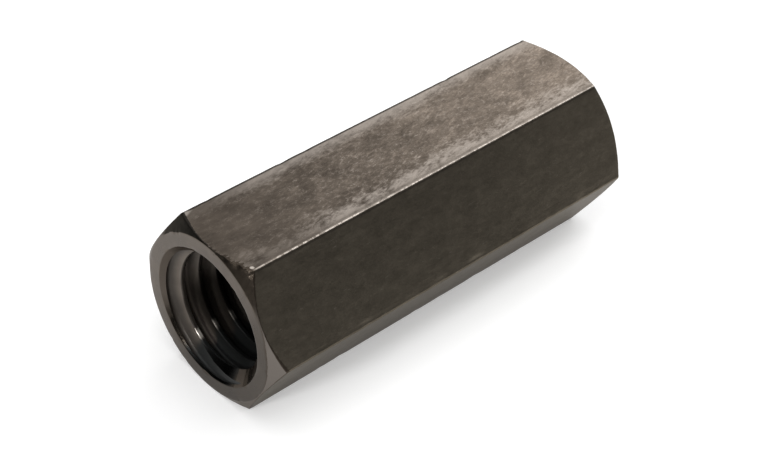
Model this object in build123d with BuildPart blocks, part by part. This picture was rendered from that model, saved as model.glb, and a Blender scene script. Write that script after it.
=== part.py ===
"""Long hexagonal coupling nut, M12 x 1.75, lying on one of its flats.

One piece of cold-drawn hexagonal steel bar: faced and chamfered at both ends, drilled through,
countersunk at both mouths and tapped.

Frame, in millimetres: +X runs along the bore, +Z is up and square to the flat that faces up.
The origin is the middle of the nut, on the thread's axis.
"""

import os
from math import ceil, radians, sqrt, tan

from build123d import *

# Driving dimensions.
across_flats = 15.0
nut_length = 40.0
thread_size = 12.0
thread_pitch = 1.75
thread_angle = 60.0
thread_crest_width = 0.3
first_groove_depth = 1.11
near_mouth_turns = 3
far_mouth_turns = 2
ring_diameter = 14.8
chamfer_angle = 35.0
mouth_diameter = 12.3
mouth_angle = 90.0
drawn_edge_radius = 0.2
cutter_overlap = 0.15

# The bar.
half_length = nut_length / 2
flat_distance = across_flats / 2
corner_distance = across_flats / sqrt(3)

# The turned ends. A chamfer's angle and depth are counted from the end face.
ring_radius = ring_diameter / 2
outside_radius = 2 * corner_distance - ring_radius
outside_depth = (outside_radius - ring_radius) * tan(radians(chamfer_angle))

# The bore. A standard inside thread is five eighths as deep as a sharp one of the same pitch.
flank_slope = tan(radians(thread_angle / 2))
sharp_depth = thread_pitch / 2 / flank_slope
major_radius = thread_size / 2
minor_radius = major_radius - sharp_depth * 5 / 8
mouth_radius = mouth_diameter / 2

# The thread's groove. The solid that cuts it reaches a little inside the bore.
groove_half_width = (thread_pitch - thread_crest_width) / 2
root_half_width = groove_half_width - (major_radius - minor_radius) * flank_slope
cutter_half_width = groove_half_width + cutter_overlap * flank_slope
cutter_radius = minor_radius - cutter_overlap

# The groove is one right-hand helix right through the nut. Its turns start at the top, where the
# middle of the first one lies first_groove_depth inside the near end. Only the turns just inside
# each mouth are modelled, and between them the bore stays at its minor radius.
first_turn = -ceil((root_half_width + first_groove_depth) / thread_pitch)
end_turn = ceil((root_half_width + nut_length - first_groove_depth) / thread_pitch)
near_turns = range(first_turn, first_turn + near_mouth_turns)
far_turns = range(end_turn - far_mouth_turns, end_turn)
turn_starts = [
    (first_groove_depth - half_length + turn * thread_pitch, 0, 0)
    for turn in sorted({*near_turns, *far_turns})
]

near_end = Plane(origin=(-half_length, 0, 0), z_dir=(-1, 0, 0))
far_end = Plane(origin=(half_length, 0, 0), z_dir=(1, 0, 0))

# One turn of the groove, as a solid to cut away.
with BuildPart() as groove_turn:
    with BuildLine():
        Helix(pitch=thread_pitch, height=thread_pitch, radius=minor_radius, direction=(1, 0, 0))
    with BuildSketch(Plane.XZ):
        with BuildLine():
            Polyline(
                (-cutter_half_width, cutter_radius),
                (cutter_half_width, cutter_radius),
                (root_half_width, major_radius),
                (-root_half_width, major_radius),
                close=True,
            )
        make_face()
    sweep(is_frenet=True)

with BuildPart() as coupling_nut:
    # The bar, its long edges slightly rounded as drawn.
    with BuildSketch(Plane.YZ.offset(-half_length)) as bar_section:
        RegularPolygon(radius=flat_distance, side_count=6, major_radius=False)
        fillet(bar_section.vertices(), drawn_edge_radius)
    extrude(amount=nut_length)

    # Both ends turned: a cone takes the corners off outside a flat ring.
    with BuildSketch(Plane.XZ):
        with BuildLine():
            Polyline(
                (-half_length, 0),
                (-half_length, ring_radius),
                (-half_length + outside_depth, outside_radius),
                (half_length - outside_depth, outside_radius),
                (half_length, ring_radius),
                (half_length, 0),
                close=True,
            )
        make_face()
    revolve(axis=Axis.X, mode=Mode.INTERSECT)

    # Drilled through and countersunk at both mouths.
    with Locations(near_end, far_end):
        CounterSinkHole(
            radius=minor_radius,
            counter_sink_radius=mouth_radius,
            counter_sink_angle=mouth_angle,
        )

    # Tapped, one turn of the groove after another.
    with Locations(*turn_starts):
        add(groove_turn.part, mode=Mode.SUBTRACT)

coupling_nut.part.label = "coupling_nut"

os.makedirs("parts", exist_ok=True)
export_step(coupling_nut.part, "parts/coupling_nut.step")
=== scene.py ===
from math import cos, pi, radians, sin, sqrt, tan

import bpy
from mathutils import Matrix, Vector


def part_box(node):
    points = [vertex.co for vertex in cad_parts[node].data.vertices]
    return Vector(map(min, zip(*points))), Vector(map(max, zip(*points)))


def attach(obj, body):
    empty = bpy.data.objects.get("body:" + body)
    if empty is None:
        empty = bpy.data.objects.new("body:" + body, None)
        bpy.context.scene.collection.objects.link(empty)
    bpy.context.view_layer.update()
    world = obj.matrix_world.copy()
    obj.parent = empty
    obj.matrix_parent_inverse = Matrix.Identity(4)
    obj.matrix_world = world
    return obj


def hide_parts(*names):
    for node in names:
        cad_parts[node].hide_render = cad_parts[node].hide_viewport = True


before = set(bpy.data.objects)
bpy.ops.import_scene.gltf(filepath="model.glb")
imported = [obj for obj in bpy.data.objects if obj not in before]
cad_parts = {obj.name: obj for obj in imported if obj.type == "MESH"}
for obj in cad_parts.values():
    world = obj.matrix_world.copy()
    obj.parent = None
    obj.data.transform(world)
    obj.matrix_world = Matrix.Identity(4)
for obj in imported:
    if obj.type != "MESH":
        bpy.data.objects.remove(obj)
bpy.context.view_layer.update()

# The bar: cold-drawn hexagonal steel, as it comes from the die, sawn to the length of the nut. It is a
# dark brownish grey, mottled by the die, with fine lines along the draw and slightly rounded long
# edges. The flat that faces up is rubbed paler along its edges, and painted light makes it paler towards
# the far end.

mm = 0.001
_, node_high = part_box("coupling_nut")
half_length = node_high.x
flat_distance = node_high.z
drawn_edge_radius = 0.2 * mm
dent_depth = 0.024 * mm
ring_radius = 7.4 * mm
chamfer_angle = 35
chamfer_slope = tan(radians(chamfer_angle))

# The finishes are worked out in millimetres. With sharp edges, the flat that faces up would end at
# edge_mm on either side.
end_mm = half_length / mm
flat_mm = flat_distance / mm
ring_mm = ring_radius / mm
edge_mm = flat_mm / sqrt(3)

# The skin on the flat that faces up and on the others, and what it reflects at a low angle. Then steel
# that was rubbed, flecks painted as glints, scraped steel, an edge worn bright under a painted highlight,
# steel left dull, painted glints on burrs, the left edge's painted shade, and scale with painted shade.
top_skin = (0.14, 0.1155, 0.0945, 1)
side_skin = (0.14, 0.121, 0.094, 1)
skin_glance = (0.5, 0.48, 0.46, 1)
rubbed_steel = (0.41, 0.365, 0.325, 1)
glint_fleck_steel = (0.36, 0.315, 0.275, 1)
scraped_steel = (0.5, 0.44, 0.39, 1)
worn_highlight_steel = (0.46, 0.41, 0.365, 1)
dull_steel = (0.05, 0.042, 0.035, 1)
bow_burr_glint = (0.4, 0.36, 0.32, 1)
corner_burr_glint = (0.5, 0.45, 0.4, 1)
left_edge_shade = (0.03, 0.026, 0.022, 1)
brown_scale_and_shade = (0.058, 0.046, 0.036, 1)
black_scale_and_shade = (0.026, 0.024, 0.021, 1)


class Wire:
    """A socket in a node tree. Arithmetic on wires adds the Math nodes that work it out."""

    def __init__(self, tree, socket=None):
        self.tree = tree
        self.socket = socket

    def node(self, kind, sockets=None, **settings):
        """Adds a node: first its settings, then what its sockets hold or what feeds them."""
        made = self.tree.nodes.new(kind)
        for name, value in settings.items():
            setattr(made, name, value)
        for name, value in (sockets or {}).items():
            feeds = value if isinstance(value, list) else [value]
            for feed in feeds:
                if isinstance(feed, Wire):
                    self.tree.links.new(feed.socket, made.inputs[name])
                else:
                    made.inputs[name].default_value = feed
        return Wire(self.tree, next(iter(made.outputs), None))

    def out(self, name):
        """Another output of the same node."""
        return Wire(self.tree, self.socket.node.outputs[name])

    def math(self, operation, *values):
        return self.node("ShaderNodeMath", dict(enumerate(values)), operation=operation)

    def __add__(self, other):
        return self.math("ADD", self, other)

    def __radd__(self, other):
        return self.math("ADD", other, self)

    def __sub__(self, other):
        return self.math("SUBTRACT", self, other)

    def __rsub__(self, other):
        return self.math("SUBTRACT", other, self)

    def __mul__(self, other):
        return self.math("MULTIPLY", self, other)

    def __rmul__(self, other):
        return self.math("MULTIPLY", other, self)

    def __truediv__(self, other):
        return self.math("DIVIDE", self, other)

    def __rtruediv__(self, other):
        return self.math("DIVIDE", other, self)

    def __pow__(self, other):
        return self.math("POWER", self, other)

    def __neg__(self):
        return self.math("MULTIPLY", self, -1)

    def __abs__(self):
        return self.math("ABSOLUTE", self)

    def __lt__(self, other):
        return self.math("LESS_THAN", self, other)

    def __gt__(self, other):
        return self.math("GREATER_THAN", self, other)

    def sine(self):
        return self.math("SINE", self)

    def cosine(self):
        return self.math("COSINE", self)

    def least(self, other):
        return self.math("MINIMUM", self, other)

    def most(self, other):
        return self.math("MAXIMUM", self, other)


def new_tree(name, sizes):
    """A Geometry Nodes tree with a named input for each size, and the wires that carry them."""
    tree = bpy.data.node_groups.new(name, "GeometryNodeTree")
    tree.is_modifier = True
    tree.interface.new_socket("Geometry", in_out="INPUT", socket_type="NodeSocketGeometry")
    tree.interface.new_socket("Geometry", in_out="OUTPUT", socket_type="NodeSocketGeometry")
    for label, value in sizes.items():
        kind = {int: "NodeSocketInt", float: "NodeSocketFloat"}.get(type(value), "NodeSocketMaterial")
        tree.interface.new_socket(label, in_out="INPUT", socket_type=kind)
    given = Wire(tree).node("NodeGroupInput")
    return given, {label: given.out(label) for label in sizes}


def run_tree(piece, tree, sizes):
    """Gives the piece a modifier that runs the tree at these sizes."""
    modifier = piece.modifiers.new(tree.name, "NODES")
    modifier.node_group = tree
    for item in tree.interface.items_tree:
        if item.in_out == "INPUT" and item.name in sizes:
            modifier[item.identifier] = sizes[item.name]


def new_finish(name):
    """A material of bare steel, its shader, and the wires of its place in millimetres."""
    finish = bpy.data.materials.new(name)
    finish.use_nodes = True
    shader = finish.node_tree.nodes["Principled BSDF"]
    shader.inputs["Metallic"].default_value = 1
    place = Wire(finish.node_tree).node("ShaderNodeTexCoord").out("Object")
    place = place.node("ShaderNodeVectorMath", {0: place, "Scale": 1 / mm}, operation="SCALE")
    parts = place.node("ShaderNodeSeparateXYZ", {0: place})
    return finish, shader, (parts.out("X"), parts.out("Y"), parts.out("Z"))


def finish_with(shader, colour, roughness, normal):
    """Links what varies over a surface to its shader."""
    for name, wire in (("Base Color", colour), ("Roughness", roughness), ("Normal", normal)):
        wire.tree.links.new(wire.socket, shader.inputs[name])


def noise(x, y, z, detail=2.0, roughness=0.5, distortion=0.0):
    """Cloudy noise from 0 to 1. Its grain is one over the factors that x, y and z come with."""
    return x.node(
        "ShaderNodeTexNoise",
        {
            "Vector": x.node("ShaderNodeCombineXYZ", {0: x, 1: y, 2: z}),
            "Scale": 1.0,
            "Detail": detail,
            "Roughness": roughness,
            "Distortion": distortion,
        },
    )


def rise(value, low, high):
    """Rises smoothly from 0 at low to 1 at high."""
    sockets = {"Value": value, "From Min": low, "From Max": high}
    return value.node("ShaderNodeMapRange", sockets, interpolation_type="SMOOTHSTEP")


def fall(value, low, high):
    """Falls smoothly from 1 at low to 0 at high."""
    return 1 - rise(value, low, high)


def band(value, start, full, fading, gone):
    """Rises from 0 at start to 1 at full, and falls from 1 at fading to 0 at gone."""
    return rise(value, start, full) - rise(value, fading, gone)


def blend(share, first, second):
    """The first colour where the share is 0, and the second where it is 1."""
    # The Mix node's sockets for colours are its inputs 6 and 7 and its output 2.
    return share.node("ShaderNodeMix", {0: share, 6: first, 7: second}, data_type="RGBA").out(2)


def shaded(colour, strength):
    """A colour or a direction, multiplied by a strength."""
    return strength.node("ShaderNodeVectorMath", {0: colour, "Scale": strength}, operation="SCALE")


def mottled(tone, pattern, middle, strength):
    """The tone, made lighter where a pattern is above its middle and darker where it is below."""
    return tone * (1 + (pattern - middle) * strength)


def tilted(slope, direction):
    """The surface's normal, leaning by a slope along a direction."""
    normal = slope.node("ShaderNodeNewGeometry").out("Normal")
    total = slope.node("ShaderNodeVectorMath", {0: normal, 1: shaded(direction, slope)}, operation="ADD")
    return slope.node("ShaderNodeVectorMath", {0: total}, operation="NORMALIZE")


def off_axis(y, z):
    """How far a point lies from the axis of the bore."""
    return (y * y + z * z) ** 0.5


drawn_steel, shader, (x, y, z) = new_finish("drawn_steel")
shader.inputs["Specular Tint"].default_value = skin_glance

# How far a point lies from the near end, from the right and the left edge of the flat that faces up,
# and below that flat.
from_near = x + end_mm
from_right = y + edge_mm
from_left = edge_mm - y
below_top = flat_mm - z
facing_up = fall(below_top, 0.04, 0.12)
near_half = x < 0

# Lines along the draw, a leathery relief of small dents that the die left, slanting strokes and soft
# clouds. On the flat that faces up the relief grows from the near end, and on the others it is faint.
draw_lines = noise(x * 0.06, y * 7, z * 7, detail=3, roughness=0.7)
dents = noise(x * 1.5, y * 2.3, z * 2.3, detail=4, roughness=0.6, distortion=0.5)
grain = noise(x * 4.5, y * 7, z * 7, detail=3, roughness=0.6)
slanted = y - x * 0.27
strokes = noise(x * 1.2, slanted * 5.5, z, detail=3, roughness=0.6)
clouds = noise(x * 0.45, y * 0.85, z * 0.85, detail=3, distortion=0.4)
scratches = noise(x * 1.1, y * 12, z * 12, detail=2)
scales = abs(noise(x * 1.8, y * 3.2, z * 3.2, detail=3, distortion=1.3) - 0.5)
relief = 0.25 + facing_up * (0.75 * rise(from_near, 0, 16) - 0.05)

# The tone is 1 where the skin has its own colour. Painted light makes it rise towards the far end,
# most of all on the flat that faces up, and each pattern makes it lighter or darker.
tone = 0.8 + 0.2 * rise(from_near, 18, 40) + facing_up * (0.51 * rise(from_near, -4, 34) - 0.11)
tone = mottled(tone, rise(dents, 0.38, 0.76), middle=0.27, strength=relief * 0.42)
tone = mottled(tone, clouds, middle=0.5, strength=0.6 + 0.7 * facing_up)
tone = mottled(tone, rise(strokes, 0.48, 0.72), middle=0.25, strength=relief * facing_up * 0.35)
tone = mottled(tone, draw_lines, middle=0.5, strength=0.25)
tone = mottled(tone, rise(grain, 0.4, 0.75), middle=0.25, strength=relief * 0.4)
skin_colour = shaded(blend(facing_up, side_skin, top_skin), tone)

# Rubbed paler along both long edges of that flat, with curved pale flecks on the high spots, painted as
# glints.
patches = (dents - 0.5) * 3 + (strokes - 0.5) * 3 + (grain - 0.5) * 1.5 + (clouds - 0.5) * 4
right_rub = rise(patches - y, 2.2, 4.4) * (0.25 + 0.75 * rise(from_near, 6, 11))
right_rub = right_rub * (0.6 + 0.4 * rise(from_right, 0.25, 0.8))
left_rub = rise(patches * 0.35 + y, 2.6, 4.1) * (0.15 + 0.85 * rise(from_near, 1, 11))
rubbed = right_rub.most(left_rub * 0.9) * facing_up
glint_flecks = fall(scales, 0.008, 0.035) * rise(dents, 0.46, 0.6) * relief * facing_up
scraped = rise(scratches, 0.66, 0.72) * rise(dents, 0.5, 0.6)
skin_colour = blend(rubbed * 0.7, skin_colour, rubbed_steel)
skin_colour = blend(glint_flecks * 0.6, skin_colour, glint_fleck_steel)
skin_colour = blend(scraped * (0.15 + 0.5 * relief * facing_up), skin_colour, scraped_steel)

# Beside the right edge runs a dull line, and the edge itself is worn bright, with a painted highlight,
# but for a few gaps, and dull just below. The left edge is painted dark, as shade.
dull_line = band(from_right, 0.1, 0.2, 0.3, 0.42) * facing_up
right_edge = fall(from_right, 0.07, 0.11)
dull_edge = right_edge * rise(below_top, 0.06, 0.09) * fall(below_top, 0.2, 0.3)
highlit_edge = right_edge * fall(below_top, 0.06, 0.09)
worn = rise(noise(x * 3, y * 0.4, z * 0.4, detail=3), 0.43, 0.56) * (0.5 + 0.5 * rise(from_near, 1, 6))
# Painted shade along the left edge of the flat that faces up.
shaded_left_edge = fall(from_left, 0.17, 0.26) * facing_up
skin_colour = blend(dull_line * 0.25, skin_colour, dull_steel)
skin_colour = blend(dull_edge * 0.6, skin_colour, dull_steel)
skin_colour = blend(highlit_edge * (0.15 + 0.85 * worn), skin_colour, worn_highlight_steel)
skin_colour = blend(shaded_left_edge * 0.8, skin_colour, left_edge_shade)

# At the near end the cone's dark scale and painted shade have crept past the bow, furthest at the long
# edges, with a torn border beside the right one. Small burrs on the bow and at both corners have painted
# glints.
from_axis = off_axis(y, z)
past_bow = end_mm - abs(x) - (from_axis - ring_mm) * chamfer_slope
creep = (from_axis - ring_mm) * 0.22
torn = fall(y, -1.5, 1.0) * facing_up
ragged = (noise(x * 0.9, y * 3.2, z * 3.2, detail=3, roughness=0.7) - 0.5) * (0.25 + 1.4 * torn)
past_dark_border = past_bow - creep + ragged
crept = fall(past_dark_border, 0, 0.06) * near_half
crept_scale_and_shade = blend(rise(y, -3, 2), brown_scale_and_shade, black_scale_and_shade)
# Painted glints on the burrs along the bow and at the corners.
bow_burr_glints = fall(abs(past_dark_border - 0.09), 0.02, 0.07) * facing_up * near_half
bow_burr_glints = bow_burr_glints * rise(noise(x * 2, y * 4, z * 4, detail=2), 0.52, 0.62) * (0.3 + 0.7 * torn)
right_burr_glint = fall(((from_right - 0.31) ** 2 + (past_bow - 0.34) ** 2) ** 0.5, 0.1, 0.2)
left_burr_glint = fall(abs(from_left - 0.28) + past_bow * 0.5, 0.25, 0.6) * rise(past_bow, 0.2, 0.3)
corner_burr_glints = right_burr_glint.most(left_burr_glint * 0.6) * facing_up * near_half
skin_colour = blend(crept * 0.95, skin_colour, crept_scale_and_shade)
skin_colour = blend(bow_burr_glints * 0.35, skin_colour, bow_burr_glint)
skin_colour = blend(corner_burr_glints, skin_colour, corner_burr_glint)

skin_roughness = 0.33 + (dents - 0.5) * relief * 0.4 + (draw_lines - 0.5) * 0.12
normal = x.node("ShaderNodeNewGeometry").out("Normal")
across_draw = x.node("ShaderNodeVectorMath", {0: normal, 1: (1, 0, 0)}, operation="CROSS_PRODUCT")
lined = tilted((draw_lines - 0.5) * 0.16, across_draw)
height = (dents + grain * 0.2 + scratches * 0.1) * relief
bumps = {"Strength": 1.0, "Distance": dent_depth, "Height": height, "Normal": lined}
finish_with(shader, skin_colour, skin_roughness, x.node("ShaderNodeBump", bumps))

# The turned ends: both ends of the bar are faced in a lathe, and a cone takes the corners off outside
# a flat ring. The ring is pale and smooth, with fine rings from the tool, and painted shade at its lower
# right. The cones outside and inside it are duller, dark at the top with scale and painted shade, and
# painted darker as shade at the bottom of the mouth.

mouth_radius = 6.158 * mm
mouth_angle = 90
mouth_slope = tan(radians(mouth_angle / 2))
lip_round = 0.04 * mm
ring_round = 0.05 * mm
bow_round = 0.05 * mm
nick_depth = 0.05 * mm
torn_depth = 0.22 * mm

# Where a long edge begins, from the axis, and where the nicks on it reach their full depth.
long_edge_start = 8.35 * mm
long_edge_full = 8.6 * mm

# How finely the skin is divided. A narrow strip beside each bow supports its rounding.
steps_around = 300
corner_crowding = 0.85
rows_along = 70
mouth_rows = 6
ring_rows = 8
cone_rows = 6
support_rows = 3
bow_support = 0.4 * mm
blank_rounding_rows = 5
weld_distance = 0.001 * mm

# Faced steel, pale or dull, each lit at the upper left and with painted shade at the lower right of the
# ring.
pale_faced_lit_and_shaded = [(0.101, 0.083, 0.067, 1), (0.096, 0.077, 0.0595, 1)]
dull_faced_lit_and_shaded = [(0.084, 0.069, 0.056, 1), (0.08, 0.064, 0.0495, 1)]
ring_speck = (0.05, 0.04, 0.034, 1)

# The cones: bare steel, scale with painted shade, and painted shade in the mouth, at its top and low
# down.
cone_glance = (0.6, 0.58, 0.56, 1)
cone_steel = (0.145, 0.129, 0.115, 1)
cone_brown_scale_and_shade = (0.042, 0.034, 0.0265, 1)
cone_black_scale_and_shade = (0.025, 0.023, 0.02, 1)
mouth_steel = (0.087, 0.073, 0.061, 1)
mouth_top_shade_colour = (0.06, 0.044, 0.032, 1)
teal_low_shade = (0.021, 0.0215, 0.021, 1)
brown_low_shade = (0.036, 0.03, 0.024, 1)


def turned_normal(x, y, z, slope):
    """The normal under fine rings round the bore."""
    from_axis = off_axis(y, z)
    rings = noise(x * 12, from_axis * 14, y * 0.02, detail=3, roughness=0.8)
    radial = x.node("ShaderNodeCombineXYZ", {0: 0.0, 1: y / from_axis, 2: z / from_axis})
    return tilted((rings - 0.5) * slope, radial)


turned_ring, shader, (x, y, z) = new_finish("turned_ring")
smears = noise(x * 0.8, y * 0.8, z * 0.8, detail=3)
specks = rise(noise(x * 3, y * 3, z * 3, detail=2), 0.68, 0.72)
# Painted shade darkens the ring towards its lower right and its bottom.
ring_shade = rise(-y - z, -1, 5)
pale_ring = blend(ring_shade, *pale_faced_lit_and_shaded)
dull_ring = blend(ring_shade, *dull_faced_lit_and_shaded)
ring_colour = blend(rise(smears, 0.35, 0.7), dull_ring, pale_ring)
ring_colour = shaded(ring_colour, (1 - ring_shade * 0.33) * (1 - rise(-z, 3, 7) * 0.2))
ring_colour = blend(specks * 0.5, ring_colour, ring_speck)
finish_with(shader, ring_colour, 0.3 + (smears - 0.5) * 0.15, turned_normal(x, y, z, 0.35))

# One finish serves the cones outside the ring and inside it. The border between them is on the ring.
cone_border_mm = 6.5
turned_cone, shader, (x, y, z) = new_finish("turned_cone")
shader.inputs["Specular Tint"].default_value = cone_glance
smears = noise(x * 0.8, y * 0.8, z * 0.8, detail=3)
blotches = noise(x * 1.6, y * 2.2, z * 2.2, detail=4, roughness=0.6)
near_half = x < 0
in_mouth = off_axis(y, z) < cone_border_mm
# The outer cones are darker at the top, brown at the right and near black at the left: partly scale,
# partly painted shade.
scale_and_shade = rise(z + (smears - 0.5) * 3, 1.5, 6) * (1 - rise(y, 5.2, 6.1) * 0.75)
scale_and_shade_colour = blend(rise(y, -3, 2), cone_brown_scale_and_shade, cone_black_scale_and_shade)
scale_and_shade_colour = shaded(scale_and_shade_colour, 1 + (blotches - 0.5) * 0.9)
outer_colour = blend(scale_and_shade, cone_steel, scale_and_shade_colour)

# Painted shade darkens the lower half of the mouth, teal at the bottom and brown beside it. At the near
# end a strip of it at the lower right, between two slopes from the axis, is left out, and painted shade
# darkens the upper left.
mouth_top_shade = rise(z + (smears - 0.5) * 3, 4.2, 5.2) * rise(y, 0.5, 2) * near_half
low_shade = fall(z + (smears - 0.5) * 1.5, -3.2, -1.6)
low_shade_colour = blend(rise(abs(y), 2.4, 3.4), teal_low_shade, brown_low_shade)
unshaded_strip = band(y / z, 0.63, 0.67, 1.0, 1.06) * (z < -2) * near_half
mouth_colour = blend(mouth_top_shade * 0.8, mouth_steel, mouth_top_shade_colour)
mouth_colour = blend(low_shade * (1 - unshaded_strip * 0.92), mouth_colour, low_shade_colour)
cone_colour = blend(in_mouth, outer_colour, mouth_colour)
cone_roughness = 0.36 + (smears - 0.5) * 0.15 - low_shade * in_mouth * (1 - unshaded_strip) * 0.14
finish_with(shader, cone_colour, cone_roughness, turned_normal(x, y, z, 0.3))

blank_sizes = {
    "Half Length": half_length,
    "Flat Distance": flat_distance,
    "Edge Radius": drawn_edge_radius,
    "Ring Radius": ring_radius,
    "Chamfer Slope": chamfer_slope,
    "Mouth Radius": mouth_radius,
    "Mouth Slope": mouth_slope,
    "Lip Round": lip_round,
    "Ring Round": ring_round,
    "Bow Round": bow_round,
    "Bow Support": bow_support,
    "Nick Depth": nick_depth,
    "Torn Depth": torn_depth,
    "Steps Around": steps_around,
    "Rows Along": rows_along,
    "Drawn Steel": drawn_steel,
    "Turned Ring": turned_ring,
    "Turned Cone": turned_cone,
}


def place_in_square(given):
    """How far a point lies across and along the square one metre wide that a strip starts as."""
    square = given.node("ShaderNodeSeparateXYZ", {0: given.node("GeometryNodeInputPosition")})
    return square.out("X") + 0.5, 0.5 - square.out("Y")


# Across the square lies the way round the bar, and along it the way from one corner of the section to
# the next. Points crowd at the long edges.
given, size = new_tree("turned_blank", blank_sizes)
across, along = place_in_square(given)
bar_sides = 6
side_angle = 2 * pi / bar_sides
sides_passed = across * bar_sides
crowding = (sides_passed * (2 * pi)).sine() * (corner_crowding / (2 * pi))
turn = (sides_passed - crowding) * side_angle

# The hexagon, with its long edges rounded. The angle is counted from the nearest long edge.
from_edge = abs(turn - given.math("ROUND", turn / side_angle) * side_angle)
edge_centre = (size["Flat Distance"] - size["Edge Radius"]) / cos(side_angle / 2)
flat_reach = size["Flat Distance"] / (side_angle / 2 - from_edge).cosine()
edge_end = side_angle / 2 - given.math("ARCTANGENT", edge_centre / 2 / size["Flat Distance"])
chord = (size["Edge Radius"] ** 2 - (edge_centre * from_edge.sine()) ** 2).most(0)
edge_reach = edge_centre * from_edge.cosine() + chord ** 0.5
on_edge = from_edge < edge_end
bar_radius = on_edge * edge_reach + (1 - on_edge) * flat_reach


def strip(steps, rows, x, radius, angle):
    """A band of faces round the bore, with its rows of points. Its angle starts at the edge on -Y."""
    grid_sizes = {"Size X": 1.0, "Size Y": 1.0, "Vertices X": steps + 1, "Vertices Y": rows}
    grid = angle.node("GeometryNodeMeshGrid", grid_sizes)
    point = {0: x, 1: -(radius * angle.cosine()), 2: radius * angle.sine()}
    point = angle.node("ShaderNodeCombineXYZ", point)
    return angle.node("GeometryNodeSetPosition", {"Geometry": grid, "Position": point})


def between(first, last, share):
    """The point that is a share of the way from the first to the last."""
    return [a + (b - a) * share for a, b in zip(first, last)]


def towards(start, end, distance):
    """The point that is a distance from the start, on the way to the end."""
    gap = ((end[0] - start[0]) ** 2 + (end[1] - start[1]) ** 2) ** 0.5
    return between(start, end, distance / gap)


def outline_strips(corners, rounding_rows, along, lay):
    """Strips along a section. A corner is its point, its rounding and the rows up to the next one."""
    strips = []
    leaving = corners[0][0]
    for number in range(1, len(corners)):
        last, _, rows = corners[number - 1]
        corner, rounding, _ = corners[number]
        arriving = towards(corner, last, rounding) if rounding else corner
        strips.append(lay(rows, *between(leaving, arriving, along)))
        leaving = corner
        if rounding:
            following = corners[number + 1][0]
            leaving = towards(corner, following, rounding)
            first = between(arriving, corner, along)
            second = between(corner, leaving, along)
            strips.append(lay(rounding_rows, *between(first, second, along)))
    return strips


def welded(strips):
    """The strips as one mesh, with the points that they share merged."""
    joined = strips[0].node("GeometryNodeJoinGeometry", {0: strips})
    return joined.node("GeometryNodeMergeByDistance", {"Geometry": joined, "Distance": weld_distance})


def lay_blank(rows, x, radius):
    """A band of the blank's skin."""
    return strip(size["Steps Around"], rows, x, radius, turn)


# The section, from the point on the axis where the near mouth's cone would end to the same at the far
# end. The tap takes away what lies inside the bore.
end = size["Half Length"]
bow_depth = (bar_radius - size["Ring Radius"]) * size["Chamfer Slope"]
cone_depth = size["Mouth Radius"] / size["Mouth Slope"]
corners = [
    ((cone_depth - end, 0.0), 0, mouth_rows),
    ((-end, size["Mouth Radius"]), size["Lip Round"], ring_rows),
    ((-end, size["Ring Radius"]), size["Ring Round"], cone_rows),
    ((bow_depth - end, bar_radius), size["Bow Round"], support_rows),
    ((bow_depth + size["Bow Support"] - end, bar_radius), 0, size["Rows Along"]),
    ((end - bow_depth - size["Bow Support"], bar_radius), 0, support_rows),
    ((end - bow_depth, bar_radius), size["Bow Round"], cone_rows),
    ((end, size["Ring Radius"]), size["Ring Round"], ring_rows),
    ((end, size["Mouth Radius"]), size["Lip Round"], mouth_rows),
    ((end - cone_depth, 0.0), 0, 0),
]
skin = welded(outline_strips(corners, blank_rounding_rows, along, lay_blank))

# How far a point lies from the axis, inside the flats, and past the bow where a cone meets them.
place = given.node("ShaderNodeSeparateXYZ", {0: given.node("GeometryNodeInputPosition")})
x, y, z = place.out("X"), place.out("Y"), place.out("Z")
from_axis = off_axis(y, z)
from_end = size["Half Length"] - abs(x)
leaning = abs(y) * sin(side_angle) + abs(z) * cos(side_angle)
inside_flats = size["Flat Distance"] - leaning.most(abs(z))
past_bow = from_end - (from_axis - size["Ring Radius"]) * size["Chamfer Slope"]

# Small nicks along the long edges.
nicks = rise(noise(x * (1.1 / mm), y * (0.3 / mm), z * (0.3 / mm), detail=3), 0.54, 0.72)
nicks = nicks * rise(from_axis, long_edge_start, long_edge_full) * size["Nick Depth"]

# The bow is torn a little, and most beside the right edge at the near end. The noise in the tear
# doesn't change along the bar.
near_bow = fall(past_bow.most(inside_flats), 0.05 * mm, 0.4 * mm)
torn = 0.12 + (x < 0) * rise(z, 5 * mm, 7 * mm) * fall(y, -2 * mm, 1 * mm)
tear = (noise(x * 0, y * (1.5 / mm), z * (1.5 / mm), detail=3) - 0.5) * 2
tear = tear * near_bow * torn * size["Torn Depth"]
tear = tear * (from_axis > size["Ring Radius"] + size["Ring Round"])

# Chips at the mouth's lip and at the rim of the ring, into the end face.
near_lip = fall(abs(from_axis - size["Mouth Radius"]), 0.03 * mm, 0.12 * mm)
near_rim = fall(abs(from_axis - size["Ring Radius"]), 0.03 * mm, 0.12 * mm)
inwards = 1 - 2 * (x > 0)
chips = rise(noise(x * 0.2, y * (0.9 / mm), z * (0.9 / mm), detail=2), 0.5, 0.75)
chips = chips * (from_end < 0.06 * mm) * near_lip.most(near_rim) * inwards * size["Nick Depth"]

shift = {0: tear + chips, 1: -(nicks * y / from_axis), 2: -(nicks * z / from_axis)}
shift = given.node("ShaderNodeCombineXYZ", shift)
skin = given.node("GeometryNodeSetPosition", {"Geometry": skin, "Offset": shift})

on_cone = ((inside_flats > 0.03 * mm) * (past_bow < 0.15 * mm)).most(from_axis < size["Mouth Radius"])
on_ring = (from_end < 0.02 * mm) * (from_axis > size["Mouth Radius"])
skin = given.node("GeometryNodeRealizeInstances", {0: skin})
skin = given.node("GeometryNodeSetMaterial", {"Geometry": skin, "Material": size["Drawn Steel"]})
for faces, material in ((on_cone, size["Turned Cone"]), (on_ring, size["Turned Ring"])):
    turned = {"Geometry": skin, "Selection": faces, "Material": material}
    skin = given.node("GeometryNodeSetMaterial", turned)
skin.node("NodeGroupOutput", {0: skin})

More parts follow.
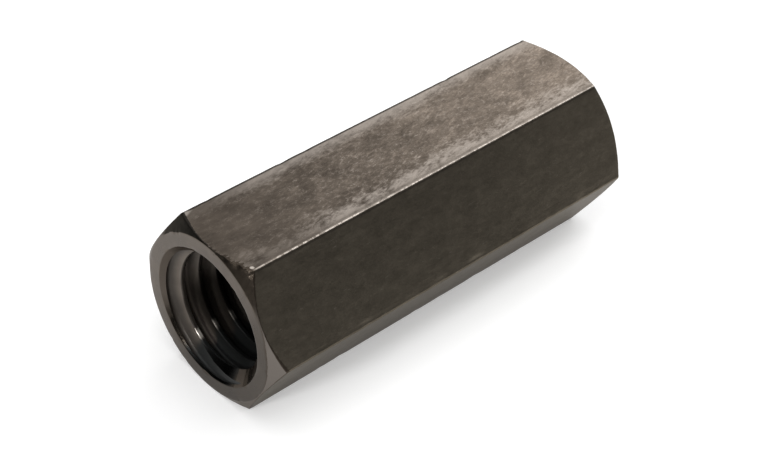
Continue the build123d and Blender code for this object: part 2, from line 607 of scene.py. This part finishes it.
# The tapped bore: drilled through, countersunk at both mouths and cut with a right-hand tap. The
# thread is M12 x 1.75, its crests narrow flats, under a film of cutting oil and darkened by painted
# shade.
# A point of its section is counted from the middle of a crest, which at the top lies half a pitch past
# the first groove.

pitch = 1.75 * mm
thread_angle = 60
flank_slope = tan(radians(thread_angle / 2))
crest_radius = 5.0528 * mm
root_radius = 6.0 * mm
crest_width = 0.3 * mm
crest_round = 0.1 * mm
root_round = 0.17 * mm
first_groove = 1.11 * mm

# The tap is a solid thread, closed beyond both ends of the nut. It starts a turn early at the far end,
# and more by the half pitch to a crest and the quarter turn from the edge on -Y to the top.
tap_overrun = 1.0 * mm
tap_closing = 0.4 * mm
early_turns = 1 + 0.5 + 0.25
spare_turns = 5
steps_a_turn = 128
thread_rows = 2
tap_rounding_rows = 4
sharp_edge_angle = 25

filmed_steel = (0.135, 0.113, 0.094, 1)
cut_steel = (0.165, 0.139, 0.116, 1)
crest_glint_steel = (0.5, 0.46, 0.41, 1)
thread_low_shade = (0.018, 0.019, 0.0185, 1)
film_gloss = 0.27

cut_thread, shader, (x, y, z) = new_finish("cut_thread")
shader.inputs["Specular IOR Level"].default_value = film_gloss
film = noise(x * 0.7, y * 0.7, z * 0.7, detail=3)
tears = noise(x * 6, y * 3, z * 3, detail=3)
thread_colour = blend(rise(film, 0.35, 0.65), filmed_steel, cut_steel)

# Painted shade makes the thread darker at its root, further in and in the lower half, and darkest low
# down past the first turn, where the root is the lighter part. The crests are polished, and painted
# darker.
from_axis = off_axis(y, z)
inside = end_mm - abs(x)
lower_half = fall(z, -4, 1)
at_root = rise(from_axis + lower_half * 0.15, 5.15, 5.85)
further_in = rise(inside, 1.7, 6)
low = fall(z, -2.5, 1) * rise(inside, 2, 2.8)
tone = (1 - at_root * (0.55 - low * 2)) * (1 - further_in * 0.15) * (1 - low * 0.84)
tone = tone * (1 - lower_half * 0.3)
polished = fall(from_axis, 5.08, 5.16)
thread_colour = shaded(thread_colour, tone * (1 - polished * 0.6))

# At the lower left the first crests have a painted glint, between two slopes from the axis. Painted shade
# lies at the bottom of the bore and to its right.
glint_spot = band(-y / z, 0.42, 0.52, 0.62, 0.76) * (z < -3) * (1 - rise(inside, 2, 3.5) * 0.75)
low_shade = fall(z, -4.6, -3.2) * fall(y + (film - 0.5) * 2, 1.5, 2.5)
thread_colour = blend(polished * glint_spot * 0.8, thread_colour, crest_glint_steel)
thread_colour = blend(low_shade, thread_colour, thread_low_shade)
thread_roughness = 0.4 - 0.26 * polished + (film - 0.5) * 0.15 + low * 0.4
along_bore = x.node("ShaderNodeCombineXYZ", {0: 1.0})
finish_with(shader, thread_colour, thread_roughness, tilted((tears - 0.5) * 0.12, along_bore))

# A film of dried oil hides part of the metal's shine, and little of it low down.
shine = 0.35 + low * 0.6
cut_thread.node_tree.links.new(shine.socket, shader.inputs["Metallic"])

tap_sizes = {
    "Half Length": half_length,
    "Pitch": pitch,
    "Crest Radius": crest_radius,
    "Root Radius": root_radius,
    "Crest Width": crest_width,
    "Crest Round": crest_round,
    "Root Round": root_round,
    "Flank Slope": flank_slope,
    "First Groove": first_groove,
    "Overrun": tap_overrun,
    "Closing Length": tap_closing,
    "Steps a Turn": steps_a_turn,
    "Cut Thread": cut_thread,
}
given, size = new_tree("tapped_bore", tap_sizes)
across, along = place_in_square(given)
reach = size["Half Length"] + size["Overrun"]
needed_turns = given.math("CEIL", reach * 2 / size["Pitch"])
turns = needed_turns + spare_turns
lead = size["First Groove"] + size["Pitch"] * (needed_turns + early_turns) - size["Half Length"]


def lay_tap(rows, x, radius):
    """A band of the tap, wound on its helix. It closes to the axis at both ends, outside the nut."""
    x = (lead + x - across * turns * size["Pitch"]).least(reach).most(-reach)
    closing = ((reach - abs(x)) / size["Closing Length"]).least(1)
    return strip(turns * size["Steps a Turn"], rows, x, radius * closing, across * turns * (2 * pi))


half_crest = size["Crest Width"] / 2
root = half_crest + (size["Root Radius"] - size["Crest Radius"]) * size["Flank Slope"]
corners = [
    ((0.0, size["Crest Radius"]), 0, thread_rows),
    ((half_crest, size["Crest Radius"]), 0, thread_rows),
    ((root, size["Root Radius"]), size["Root Round"], thread_rows),
    ((size["Pitch"] - root, size["Root Radius"]), size["Root Round"], thread_rows),
    ((size["Pitch"] - half_crest, size["Crest Radius"]), size["Crest Round"], thread_rows),
    ((size["Pitch"], size["Crest Radius"]), 0, 0),
]
tap = welded(outline_strips(corners, tap_rounding_rows, along, lay_tap))
tap = given.node("GeometryNodeSetMaterial", {"Geometry": tap, "Material": size["Cut Thread"]})
meshes = {"Mesh 1": given, "Mesh 2": tap}
nut_mesh = given.node("GeometryNodeMeshBoolean", meshes, operation="DIFFERENCE", solver="MANIFOLD")
nut_mesh = given.node("GeometryNodeSetShadeSmooth", {"Geometry": nut_mesh, "Shade Smooth": True})

# An edge is sharp where its faces turn by much, and where a cut face meets a turned one.
in_bore = given.node("GeometryNodeMaterialSelection", {"Material": size["Cut Thread"]})
bore_share = given.node("GeometryNodeFieldOnDomain", {"Value": in_bore}, data_type="FLOAT", domain="FACE")
turns_much = given.node("GeometryNodeInputMeshEdgeAngle") > radians(sharp_edge_angle)
on_border = abs(bore_share - 0.5) < 0.25
sharp = {"Geometry": nut_mesh, "Selection": turns_much.most(on_border), "Shade Smooth": False}
nut_mesh = given.node("GeometryNodeSetShadeSmooth", sharp, domain="EDGE")
nut_mesh = given.node("GeometryNodeRealizeInstances", {0: nut_mesh})
bore = {"Geometry": nut_mesh, "Selection": in_bore, "Material": size["Cut Thread"]}
nut_mesh = given.node("GeometryNodeSetMaterial", bore)
nut_mesh.node("NodeGroupOutput", {0: nut_mesh})

nut = bpy.data.objects.new("nut_body", bpy.data.meshes.new("nut_body"))
bpy.context.scene.collection.objects.link(nut)
run_tree(nut, bpy.data.node_groups["turned_blank"], blank_sizes)
run_tree(nut, bpy.data.node_groups["tapped_bore"], tap_sizes)
nut.data = bpy.data.meshes.new_from_object(nut.evaluated_get(bpy.context.evaluated_depsgraph_get()))
nut.modifiers.clear()
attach(nut, "root")
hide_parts("coupling_nut")

# The table: a plain sheet of white card, wide enough to fill every view. What the light leaves short
# of white is made up for the eye and for reflections, so that it still takes the nut's shadow.

table_reach = 3.0
card_white = 0.8
card_fill = 0.3
table_mesh = bpy.data.meshes.new("table")
sides = ((-1, -1), (1, -1), (1, 1), (-1, 1))
table_corners = [(x * table_reach, y * table_reach, -flat_distance) for x, y in sides]
table_mesh.from_pydata(table_corners, [], [(0, 1, 2, 3)])
table = bpy.data.objects.new("table", table_mesh)
bpy.context.scene.collection.objects.link(table)
card = bpy.data.materials.new("white_card")
card.use_nodes = True
shader = card.node_tree.nodes["Principled BSDF"]
shader.inputs["Base Color"].default_value = (card_white, card_white, card_white, 1)
shader.inputs["Roughness"].default_value = 1.0
shader.inputs["Emission Strength"].default_value = 1.0
ray = Wire(card.node_tree).node("ShaderNodeLightPath")
seen = ray.out("Is Camera Ray") + ray.out("Is Glossy Ray") + ray.out("Is Transmission Ray")
fill = blend(seen.least(1), (0, 0, 0, 1), (card_fill, card_fill, card_fill, 1))
card.node_tree.links.new(fill.socket, shader.inputs["Emission Color"])
table_mesh.materials.append(card)

# The studio: a soft dome of light that dims towards the horizon, and most on the left, with a window
# low on the far side, a soft box over the right and a small lamp in front. A bearing is counted in
# degrees from +X towards +Y, and a height from the horizon.

horizon_light = 0.06
dome_light = 1.15
overhead_light = 0.6
left_dimming = 0.85
window_light = 1.5
soft_box_light = 3.0
small_lamp_light = 60.0

studio = bpy.data.worlds.new("studio")
bpy.context.scene.world = studio
studio.use_nodes = True
way = Wire(studio.node_tree).node("ShaderNodeTexCoord").out("Generated")
parts = way.node("ShaderNodeSeparateXYZ", {0: way})
height = way.math("ARCSINE", parts.out("Z")) * (180 / pi)
bearing = way.math("ARCTAN2", parts.out("Y"), parts.out("X")) * (180 / pi)


def beside(centre, near, far):
    """1 within near degrees of a bearing, and 0 beyond far degrees of it."""
    return fall(abs(way.math("WRAP", bearing - centre, -180, 180)), near, far)


def lamp(bearing, height, near, far):
    """A round lamp: 1 within near degrees of its middle, and 0 beyond far degrees of it."""
    level = cos(radians(height))
    middle = (level * cos(radians(bearing)), level * sin(radians(bearing)), sin(radians(height)))
    facing = way.node("ShaderNodeVectorMath", {0: way, 1: middle}, operation="DOT_PRODUCT").out("Value")
    return rise(facing, cos(radians(far)), cos(radians(near)))


dome = horizon_light + dome_light * rise(height, 8, 55) + overhead_light * rise(height, 58, 80)
dome = dome * (1 - left_dimming * beside(110, near=45, far=70) * fall(height, 30, 52))
window = window_light * beside(12, near=26, far=44) * rise(height, -4, 20) * fall(height, 33, 44)
soft_box = soft_box_light * lamp(bearing=-28, height=51, near=6, far=11)
small_lamp = small_lamp_light * lamp(bearing=191, height=33, near=3, far=5)
light = dome + window + soft_box + small_lamp
background = studio.node_tree.nodes["Background"]
background.inputs["Color"].default_value = (1, 1, 1, 1)
studio.node_tree.links.new(light.socket, background.inputs["Strength"])

# The camera stands where the photograph was taken from: about 16 cm away, above and to the right of
# the near end.

focal_length = 86.393
film_width = 36
camera_place = Vector((-0.08609, -0.08302, 0.10062))
camera_right = Vector((0.73341, -0.67695, 0.06202))
camera_up = Vector((0.40557, 0.50895, 0.75926))
camera_back = Vector((-0.54555, -0.5317, 0.64783))

camera_data = bpy.data.cameras.new("camera")
camera_data.lens = focal_length
camera_data.sensor_width = film_width
camera_data.clip_start = 0.005
camera = bpy.data.objects.new("camera", camera_data)
bpy.context.scene.collection.objects.link(camera)
stance = Matrix((camera_right, camera_up, camera_back)).transposed().to_4x4()
stance.translation = camera_place
camera.matrix_world = stance
bpy.context.scene.camera = camera
bpy.context.scene.view_settings.view_transform = "Standard"
